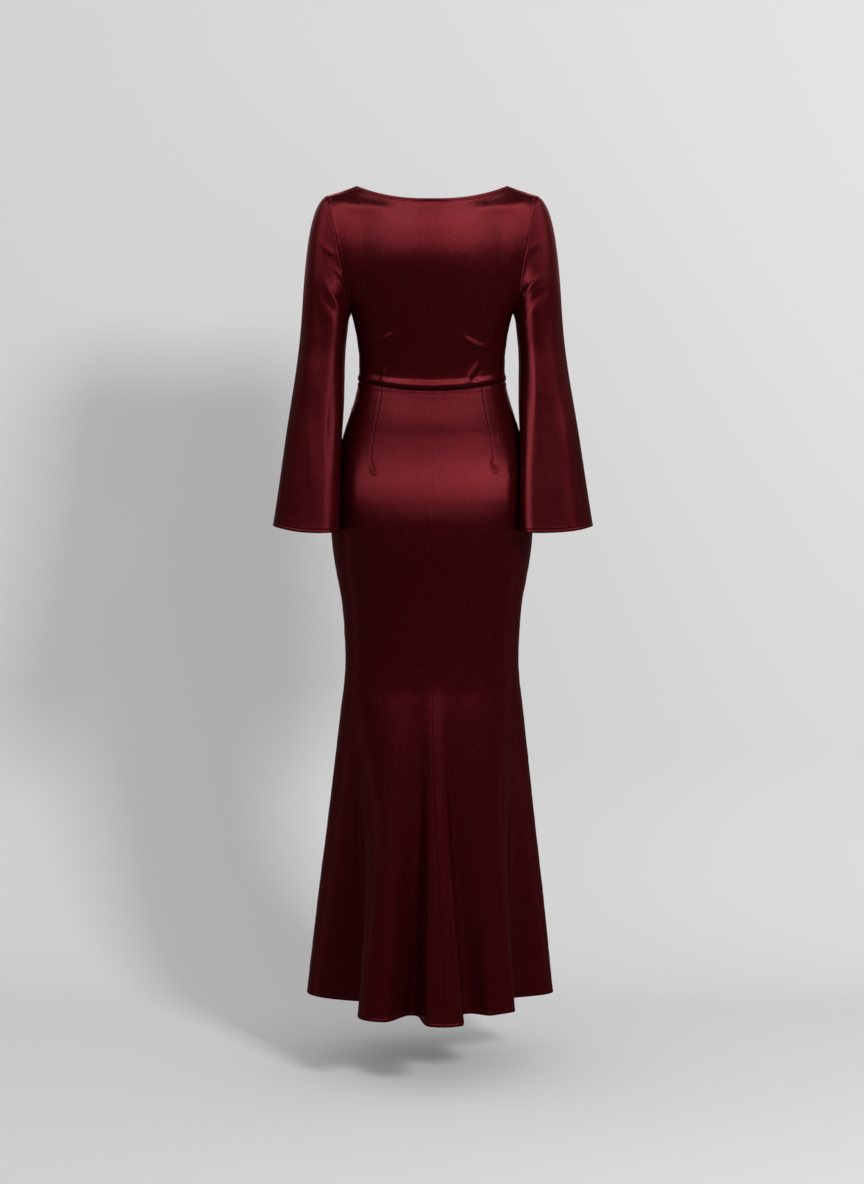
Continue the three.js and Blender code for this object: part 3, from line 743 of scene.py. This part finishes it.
def finish_piece(name, points, inner, closed):
    """Makes a piece of cloth, hangs it on the root, hides the part that it stands for and says what
    lights it.
    """
    piece = shell(name, points, inner, closed)
    piece.data.materials.append(satin)
    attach(piece, "root")
    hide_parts(name.removesuffix("_cloth"))
    for group in LIT_APART:
        if name.startswith(group):
            lit[group].objects.link(piece)


outer, inner = bodice_panel("back", BODICE_BACK_CREASES, 1)
finish_piece("bodice_back_cloth", outer, inner, False)

# Bodice front. One panel like the back, with the same wide neckline a little lower, and side
# darts that give the room for the bust. It isn't seen in the picture and is finished plainly.
BODICE_FRONT_CREASES = [
    {"from": (-110, -330), "to": (110, -330), "bend": 8, "width": 5, "height": 1.2, "fade": 0.25},
    {"from": (70, -345), "to": (64, -270), "bend": -3, "width": 3, "height": -1.6, "fade": 0.4},
    {"from": (-70, -345), "to": (-64, -270), "bend": 3, "width": 3, "height": -1.6, "fade": 0.4},
    {"from": (128, -262), "to": (92, -236), "bend": 2, "width": 2.4, "height": -1.2, "fade": 0.3},
    {"from": (-128, -262), "to": (-92, -236), "bend": -2, "width": 2.4, "height": -1.2, "fade": 0.3},
    {"from": (-158, -24), "to": (-70, -60), "bend": -5, "width": 10, "height": -1.5, "fade": 0.4},
    {"from": (160, -24), "to": (70, -58), "bend": 5, "width": 10, "height": -1.5, "fade": 0.4},
    {"from": (-138, -210), "to": (-100, -150), "bend": -6, "width": 8, "height": -1.4},
    {"from": (140, -214), "to": (104, -146), "bend": 6, "width": 8, "height": -1.3},
    {"from": (-30, -200), "to": (30, -204), "bend": 5, "width": 10, "height": -1.2},
]

outer, inner = bodice_panel("front", BODICE_FRONT_CREASES, 101)
finish_piece("bodice_front_cloth", outer, inner, False)

# Sleeves. Each is one piece of satin, set into its armhole with a smooth head, closed by one
# seam under the arm and flared to a wide cuff with a narrow stitched hem.
BICEP_Z = -250
CUFF_Z = -599
# height, outer edge, inner edge, half depth, middle of the depth
SLEEVE_SECTIONS = [
    (-250, 231.5, 149, 60, -2),
    (-290, 236, 153, 60, -5),
    (-325, 240.5, 154, 61, -9),
    (-378, 248.5, 154, 64, -16),
    (-431, 256.5, 154.5, 68, -24),
    (-484, 263.5, 154.5, 72, -32),
    (-537, 270.5, 155, 77, -40),
    (-599, 279.5, 155.5, 84, -48.5),
]
FLUTES_START = -325
# turn from the outer side over the back, and how far the flute stands out at the cuff
SLEEVE_FLUTES = {
    "right": [(20, 2), (58, 2), (95, -5), (140, 7), (170, 1), (225, 3), (275, -6), (322, 2)],
    "left": [(25, 1), (70, -6), (106, 2), (148, 6), (170, 1), (215, 2), (262, -6), (315, 3)],
}
CUFF_FLARE = {"right": (1.5, 5), "left": (-1.5, -4)}  # how much wider the outer and inner sides are
SLEEVE_SQUARENESS = 0.86
CUFF_DROP = {"inner": 9.5, "back": 6, "front": 1}  # how much lower the cuff hangs there
SLEEVE_CLEARANCE = 5
HEAD_RUN = (15, 118)  # at the underarm and at the shoulder
HEAD_RUNS_BACK = 0.2
HEAD_RUNS_DOWN = (1, 0.33)
HEAD_FALL = (25, 300)
HEAD_FALLS_OUT = 0.06
SLEEVE_COLUMNS = 150
# the rows of the head by their share of the way down, and the rows below it by their height
HEAD_SHARES = runs((0, 0.12, 0.008), (0.12, 1, 0.02))
SLEEVE_LEVELS = runs((BICEP_Z, CUFF_Z + FINE_NEAR_HEM, 3), (CUFF_Z + FINE_NEAR_HEM, CUFF_Z, 0.8))[1:]
SOFTENED_ROWS = 10  # on each side of the row where the head ends
SOFTEN_TIMES = 60
MM_FOR_EACH_DEGREE = 1.3  # round the sleeve, where its puckers are spaced
ARMHOLE_SEAM_STRENGTH = 0.8
# side, the seed of its puckers, the flat width and length it was cut to, its area
SLEEVES = [("right", 201, (0.50, 0.605), 0.1889), ("left", 301, (0.50, 0.605), 0.1847)]
SLEEVE_CREASES = {
    "left": [
        {"from": (-199, -98), "to": (-163, -130), "bend": -4, "width": 5, "height": 1.6},
        {"from": (-176, -147), "to": (-148, -187), "bend": 4, "width": 3.5, "height": 1.5},
        {"from": (-193, -155), "to": (-144, -236), "bend": -6, "width": 5, "height": 1.5},
        {"from": (-200, -170), "to": (-150, -245), "bend": -8, "width": 6, "height": -1.4},
        {"from": (-212, -160), "to": (-196, -300), "bend": 6, "width": 10, "height": -1.8},
        {"from": (-190, -280), "to": (-196, -420), "bend": -6, "width": 10, "height": 1.8},
        {"from": (-222, -330), "to": (-240, -520), "bend": 6, "width": 15, "height": -2.0},
        {"from": (-176, -330), "to": (-182, -520), "bend": 3, "width": 7, "height": -2.2},
        {"from": (-206, -420), "to": (-209, -590), "bend": 2, "width": 9, "height": 2.2},
    ],
    "right": [
        {"from": (150, -190), "to": (162, -203), "bend": 3, "width": 3.5, "height": 1.4},
        {"from": (154, -212), "to": (202, -156), "bend": 6, "width": 5.5, "height": 1.6},
        {"from": (158, -236), "to": (212, -182), "bend": 8, "width": 7, "height": -1.4},
        {"from": (164, -130), "to": (196, -100), "bend": 4, "width": 6, "height": 1.1},
        {"from": (214, -170), "to": (204, -320), "bend": -6, "width": 10, "height": -1.6},
        {"from": (176, -270), "to": (180, -430), "bend": 4, "width": 9, "height": 1.8},
        {"from": (206, -330), "to": (212, -540), "bend": -5, "width": 15, "height": -2.0},
        {"from": (236, -360), "to": (246, -540), "bend": -4, "width": 12, "height": 1.6},
    ],
}
SLEEVE_FRONT_CREASES = [
    {"from": (150, -195), "to": (190, -150), "bend": -5, "width": 5, "height": 1.4},
    {"from": (152, -226), "to": (206, -176), "bend": -6, "width": 6, "height": -1.5},
    {"from": (196, -250), "to": (204, -400), "bend": 6, "width": 11, "height": 2.0},
    {"from": (222, -330), "to": (236, -520), "bend": 5, "width": 12, "height": -2.2},
    {"from": (176, -350), "to": (178, -520), "bend": 3, "width": 9, "height": -2.0},
]
# the skirt, which the sleeves keep clear of: height, half width, depth behind, depth before
HEM_Z = -1438
SKIRT_SECTIONS = [
    (-345, 130.5, 71, 88),
    (-360, 133.5, 78, 90.4),
    (-378, 137.5, 86, 93),
    (-396, 143.4, 93.4, 95.2),
    (-414, 149, 99.5, 97),
    (-432, 155, 104.2, 98.6),
    (-450, 160, 107.8, 100),
    (-495, 171, 115.8, 102),
    (-540, 177.5, 121.8, 103),
    (-562, 179.2, 123.6, 102.6),
    (-585, 180, 124.4, 102),
    (-628, 178, 120.8, 101),
    (-665, 173.5, 113.5, 100),
    (-701, 167, 105, 99),
    (-738, 160.5, 99, 98),
    (-786, 156.5, 94, 97),
    (-843, 154.5, 92, 97),
    (-880, 157, 94, 99),
    (-917, 161.5, 100, 102),
    (-990, 170, 115, 111),
    (-1133, 186.5, 152, 134),
    (-1276, 204, 186, 157),
    (-1438, 222, 216, 178),
]


def soften(points, first, last, times):
    """Evens out the rows between two of them, in place."""
    for _ in range(times):
        middle = (points[first - 1 : last - 1] + points[first + 1 : last + 1]) / 2
        points[first:last] = mix(points[first:last], middle, 0.5)


def skirt_curve(column):
    return column_curve(SKIRT_SECTIONS, column)


def clear_of_body(point, level):
    """Keeps the sleeve clear of the body beside it, with a soft turn where it begins to."""
    if level > WAIST_Z:
        return point
    depth = np.where(point[:, 1] < 0, skirt_curve(2)(level), skirt_curve(3)(level))
    share = 1 - (point[:, 1] / depth) ** 2
    limit = skirt_curve(1)(level) * np.sqrt(np.maximum(share, 0)) + SLEEVE_CLEARANCE
    over = np.exp(-np.abs(point[:, 0] - limit) / SLEEVE_CLEARANCE)
    moved = np.maximum(point[:, 0], limit) + SLEEVE_CLEARANCE * np.log(1 + over)
    point[:, 0] = np.where(share > 0, moved, point[:, 0])
    return point


def sleeve_ring(turn, level, side):
    """A ring of the sleeve below the armhole, from the outer side (0) over the back (90)."""
    a = np.radians(turn)
    down = float(ease((BICEP_Z - level) / (BICEP_Z - CUFF_Z)))
    outer = column_curve(SLEEVE_SECTIONS, 1)(level) + CUFF_FLARE[side][0] * down
    inner = column_curve(SLEEVE_SECTIONS, 2)(level) - CUFF_FLARE[side][1] * down
    half_depth = column_curve(SLEEVE_SECTIONS, 3)(level)
    middle = column_curve(SLEEVE_SECTIONS, 4)(level)
    flutes = [(at + whole, out) for whole in (-360, 0, 360) for at, out in SLEEVE_FLUTES[side]]
    open_share = float(ease((FLUTES_START - level) / (FLUTES_START - CUFF_Z)))
    size = 1 + curve_through(flutes)(turn) * open_share / half_depth
    half_width = (outer - inner) / 2
    swell = np.where(np.sin(a) > 0, CUFF_DROP["back"], CUFF_DROP["front"])
    drop = CUFF_DROP["inner"] * (1 - np.cos(a)) / 2 + swell * np.sin(a) ** 2
    x = outer - half_width + half_width * rounded(np.cos(a), SLEEVE_SQUARENESS) * size
    y = middle - half_depth * rounded(np.sin(a), SLEEVE_SQUARENESS) * size
    return clear_of_body(np.stack([x, y, level - drop * down], 1), level)


def sleeve_head(turn, share, side):
    """The sleeve's head, which runs out of the armhole and then falls to the bicep."""
    a = np.radians(turn)
    top = (1 + np.cos(a)) / 2
    start = np.array([armhole_point(t) for t in turn]) + [SEAM_GAP, 0, 0]
    end = sleeve_ring(turn, BICEP_Z, side)
    down = mix(HEAD_RUNS_DOWN[0], HEAD_RUNS_DOWN[1], np.sqrt(top))
    run = np.stack([np.ones_like(a), -HEAD_RUNS_BACK * np.sin(a), -down], 1)
    run *= (mix(HEAD_RUN[0], HEAD_RUN[1], top) / np.linalg.norm(run, axis=1))[:, None]
    fall = np.array([[HEAD_FALLS_OUT, 0, -1]]) * mix(HEAD_FALL[0], HEAD_FALL[1], top)[:, None]
    return (
        start * (2 * share**3 - 3 * share**2 + 1)
        + run * (share**3 - 2 * share**2 + share)
        + end * (3 * share**2 - 2 * share**3)
        + fall * (share**3 - share**2)
    )


def on_side(crease, way):
    """A crease of the right sleeve (way 1), or the same one on the left sleeve (way -1)."""
    (x1, z1), (x2, z2) = crease["from"], crease["to"]
    return {**crease, "from": (way * x1, z1), "to": (way * x2, z2), "bend": way * crease["bend"]}


def sleeve_cloth(side, seed):
    """One sleeve: its outer and inner points, with the turning of its armhole seam."""
    way = 1 if side == "right" else -1
    turn = np.linspace(0, 360, SLEEVE_COLUMNS, endpoint=False)
    head = [sleeve_head(turn, share, side) for share in HEAD_SHARES]
    below = [sleeve_ring(turn, level, side) for level in SLEEVE_LEVELS]
    points = np.array(head + below)
    soften(points, len(head) - SOFTENED_ROWS, len(head) + SOFTENED_ROWS, SOFTEN_TIMES)
    points[..., 0] *= way
    middle = points.mean(axis=1, keepdims=True)
    normal = outward(points, middle, True)
    relief = creases(points, normal, SLEEVE_CREASES[side], -1)
    relief += creases(points, normal, [on_side(crease, way) for crease in SLEEVE_FRONT_CREASES], 1)
    around = np.broadcast_to(turn * MM_FOR_EACH_DEGREE, points.shape[:2])
    hem = from_edge(points, 0, -1)
    relief += ARMHOLE_SEAM_STRENGTH * seam_edge(from_edge(points, 0, 0), around, seed)
    relief += turned_hem(hem, around, seed + 10)
    points = points + normal * relief[..., None]
    normal = outward(points, middle, True)
    inner = points - normal * mix(CLOTH, HEM_CLOTH, in_hem(hem))[..., None]
    edge = points[:1]
    into = unit(np.stack([0 * edge[..., 0], -edge[..., 1], ARMHOLE["z"] - edge[..., 2]], -1))
    return turned_edge(points, inner, 0, 0, into)


for side, seed, flat, area in SLEEVES:
    outer, inner = sleeve_cloth(side, seed)
    finish_piece(f"sleeve_{side}_cloth", outer, inner, True)

# Skirt, the part that all its panels share. The panels follow SKIRT_SECTIONS, and flare from the
# knee down into folds that are set by their angles at the knee and at the hem.
FLARE_STARTS = -868
FLARE_POWER = 1.2
FLARE_ONSET = 0.05  # how softly the flare starts
CROWN_AT_KNEE = 0.35  # the width of a fold's crown, as a share of its width at the hem
CROWN_KEEPS = 0.88  # how much of a fold's depth the two sides of its crown keep
# angle at the knee and at the hem from the centre back, width of the crown, radius at the hem
FLARE_FOLDS = [
    (-90, -90, 3, 225),
    (-57, -52, 5, 143),
    (-22, -23, 5, 251),
    (-7, -10, 2.5, 189),
    (2, 4.8, 6, 271),
    (10, 19, 3, 184),
    (33, 34, 6, 213),
    (65, 61, 7, 145),
    (90, 90, 2, 217),
    (113, 113, 5, 150),
    (136, 136, 6, 212),
    (157, 157, 4, 158),
    (178, 178, 7, 203),
    (200, 200, 5, 160),
    (223, 223, 6, 214),
    (246, 246, 5, 148),
]
SEAM_SWING_AT_HEM = 4.5
# angles at the waist and at the tip; the groove and the fullness: height, distance aside, width
DART = {
    "waist": 42.5,
    "tip": 39.3,
    "tip_z": -491,
    "past_tip": 4,
    "fade": 14,
    "groove": (-0.8, 0, 1.1),
    "fullness": (0.25, 4.5, 3),
}
SKIRT_LEVELS = runs(
    (WAIST_Z, -375, 1.2),
    (-375, -520, 2.6),
    (-520, HEM_Z + FINE_NEAR_HEM, 5),
    (HEM_Z + FINE_NEAR_HEM, HEM_Z, 0.9),
)
# height, distance from the waist seam, width
BELOW_WAIST = (0.7, 4, 2.6)
UNDER_THAT = (-0.6, 12, 6)


def flare_share(level):
    """How far down the flare a level is, with a soft start."""
    share = float(np.clip((FLARE_STARTS - level) / (FLARE_STARTS - HEM_Z), 0, 1))
    return (math.hypot(share, FLARE_ONSET) - FLARE_ONSET) / (math.hypot(1, FLARE_ONSET) - FLARE_ONSET)


def fold_offset(angle, level):
    """How far the folds push the cloth out or in from the plain section."""
    share = flare_share(level)
    if share == 0:
        return np.zeros_like(angle)
    folds = []
    for knee, hem, crown, radius in FLARE_FOLDS:
        turn = math.radians(hem)
        depth = skirt_curve(2)(HEM_Z) if math.cos(turn) > 0 else skirt_curve(3)(HEM_Z)
        plain = math.hypot(skirt_curve(1)(HEM_Z) * math.sin(turn), depth * math.cos(turn))
        at, half = mix(knee, hem, share), crown * mix(CROWN_AT_KNEE, 1, share)
        for place, keeps in ((at - half, CROWN_KEEPS), (at, 1), (at + half, CROWN_KEEPS)):
            folds += [(place + whole, (radius - plain) * keeps) for whole in (-360, 0, 360)]
    return curve_through(folds)(angle) * share**FLARE_POWER


def skirt_row(angle, level):
    """A row of the skirt's surface. level is its height at the side seams."""
    turn = np.radians(angle)
    behind = np.cos(turn) > 0
    depth = np.where(behind, skirt_curve(2)(level), skirt_curve(3)(level))
    x = skirt_curve(1)(level) * np.sin(turn)
    y = -depth * np.cos(turn)
    scale = 1 + fold_offset(angle, level) / np.hypot(x, y)
    dip = np.where(behind, WAIST_DIP["back"], WAIST_DIP["front"]) * np.cos(turn) ** 2
    fades = float(ease((level - WAIST_DIP_ENDS) / (WAIST_Z - WAIST_DIP_ENDS)))
    return np.stack([x * scale, y * scale, level - dip * fades], 1)


def dart_angle(level):
    down = float(np.clip((WAIST_Z - level) / (WAIST_Z - DART["tip_z"]), 0, 1))
    return mix(DART["waist"], DART["tip"], down)


def skirt_panel(angles, facing, table, seed, seams, extra):
    """One panel of the skirt: its outer and inner points, with its seams' turnings.

    seams says how strongly its first and its last edge pucker.
    """
    points = np.array([skirt_row(angles(level), level) for level in SKIRT_LEVELS])
    points[0, :, 2] -= SEAM_GAP / 2
    for end, beside in ((0, 1), (-1, -2)):
        points[:, [end]] += unit(points[:, [beside]] - points[:, [end]]) * SEAM_GAP / 2
    inside = np.zeros((len(SKIRT_LEVELS), 1, 3))
    inside[..., 2] = SKIRT_LEVELS[:, None]
    normal = outward(points, inside, False)
    relief = creases(points, normal, table, facing)
    waist, hem = from_edge(points, 0, 0), from_edge(points, 0, -1)
    sideways, upwards = points[..., 0], points[..., 2]
    relief += seam_edge(waist, sideways, seed) + ridge(waist, BELOW_WAIST) + ridge(waist, UNDER_THAT)
    relief += turned_hem(hem, sideways, seed + 10)
    for end, strength in zip((0, -1), seams):
        relief += strength * seam_edge(from_edge(points, 1, end), upwards, seed + 20 + end)
    points = points + normal * (relief + extra(points))[..., None]
    normal = outward(points, inside, False)
    inner = points - normal * mix(CLOTH, HEM_CLOTH, in_hem(hem))[..., None]
    outer, inner = turned_edge(points, inner, 0, 0, into_waist(points[:1]))
    for end in (0, -1):
        edge = outer[:, [end]]
        at_side = np.abs(edge[..., :1]) > np.abs(edge[..., 1:2])
        into = unit(np.where(at_side, -edge * [1, 0, 0], -edge * [0, 1, 0]))
        into = unit(into + np.where(at_side, [0, SEAM_LEAN, 0], [SEAM_LEAN, 0, 0]))
        outer, inner = turned_edge(outer, inner, 1, end, into)
    return outer, inner


# Back skirt. Two panels of satin from the waist seam to the hem, joined down the centre back,
# each with one dart from the waist seam. Below the knee they flare into deep soft folds.
BACK_COLUMNS = (48, 62)  # outside the dart and inside it
CENTRE_SEAM = {"over_seat": 0.08, "more_below": 0.5, "grows_from": -650, "grows_over": 300}
SKIRT_BACK_CREASES = [
    {"from": (-104, -482), "to": (-97, -504), "bend": -4, "width": 3.8, "height": -1.5, "fade": 0.45},
    {"from": (-110, -500), "to": (-88, -505), "bend": -4, "width": 3.5, "height": 1.0},
    {"from": (105, -478), "to": (111, -498), "bend": -3, "width": 3.8, "height": -1.4, "fade": 0.45},
    {"from": (99, -504), "to": (118, -494), "bend": -4, "width": 3.5, "height": 1.0},
    {"from": (-138, -420), "to": (-142, -650), "width": 26, "height": 4.0},
    {"from": (138, -410), "to": (142, -650), "width": 26, "height": 4.5},
    {"from": (-150, -600), "to": (-120, -760), "bend": 12, "width": 26, "height": -2.0},
    {"from": (148, -600), "to": (118, -770), "bend": -12, "width": 26, "height": -2.0},
    {"from": (-60, -640), "to": (-80, -860), "bend": 8, "width": 18, "height": 1.4},
    {"from": (66, -650), "to": (92, -860), "bend": -8, "width": 18, "height": 1.4},
]


def back_angles(way):
    def angles(level):
        centre = SEAM_SWING_AT_HEM * float(ease(flare_share(level)))
        dart = way * dart_angle(level)
        outer = spaced(way * 90, dart, BACK_COLUMNS[0])
        return np.concatenate([outer, spaced(dart, centre, BACK_COLUMNS[1])[1:]])

    return angles


def dart_relief(points):
    """The dart's sewn groove, with the cloth a little full beside it."""
    along = from_edge(points, 1, 0)
    aside = np.abs(along - along[:, [BACK_COLUMNS[0]]])
    tip = ease((SKIRT_LEVELS - DART["tip_z"] + DART["past_tip"]) / DART["fade"])[:, None]
    return tip * (ridge(aside, DART["groove"]) + ridge(aside, DART["fullness"]))


# the centre back seam lies flat over the seat and shows from the thigh down
centre_seam = CENTRE_SEAM["over_seat"] + CENTRE_SEAM["more_below"] * ease(
    (CENTRE_SEAM["grows_from"] - SKIRT_LEVELS) / CENTRE_SEAM["grows_over"]
)[:, None]
# side, its sign, the seed of its puckers, the flat width and length it was cut to, its area
SKIRT_BACKS = [
    ("right", 1, 401, (0.44, 1.12), 0.2921),
    ("left", -1, 501, (0.52, 1.12), 0.3117),
]
for side, way, seed, flat, area in SKIRT_BACKS:
    seams = (1, centre_seam)
    outer, inner = skirt_panel(back_angles(way), -1, SKIRT_BACK_CREASES, seed, seams, dart_relief)
    finish_piece(f"skirt_back_{side}_cloth", outer, inner, False)

# Front skirt. One panel from side seam to side seam, cut like the two backs but without a seam
# down its middle. It isn't seen in the picture and falls in the same soft folds.
FRONT_COLUMNS = 150
SKIRT_FRONT_CREASES = [
    {"from": (-84, -350), "to": (-92, -440), "bend": 3, "width": 2.6, "height": -1.4, "fade": 0.4},
    {"from": (84, -350), "to": (92, -440), "bend": -3, "width": 2.6, "height": -1.4, "fade": 0.4},
    {"from": (-120, -560), "to": (-40, -600), "bend": 10, "width": 18, "height": -1.6},
    {"from": (124, -570), "to": (36, -606), "bend": -10, "width": 18, "height": -1.6},
    {"from": (-70, -620), "to": (-84, -860), "bend": 8, "width": 18, "height": 1.6},
    {"from": (72, -640), "to": (90, -860), "bend": -8, "width": 18, "height": 1.6},
]


def front_angles(level):
    return spaced(90, 270, FRONT_COLUMNS, 0.6)


def no_dart(points):
    return 0


outer, inner = skirt_panel(front_angles, 1, SKIRT_FRONT_CREASES, 601, (1, 1), no_dart)
finish_piece("skirt_front_cloth", outer, inner, False)
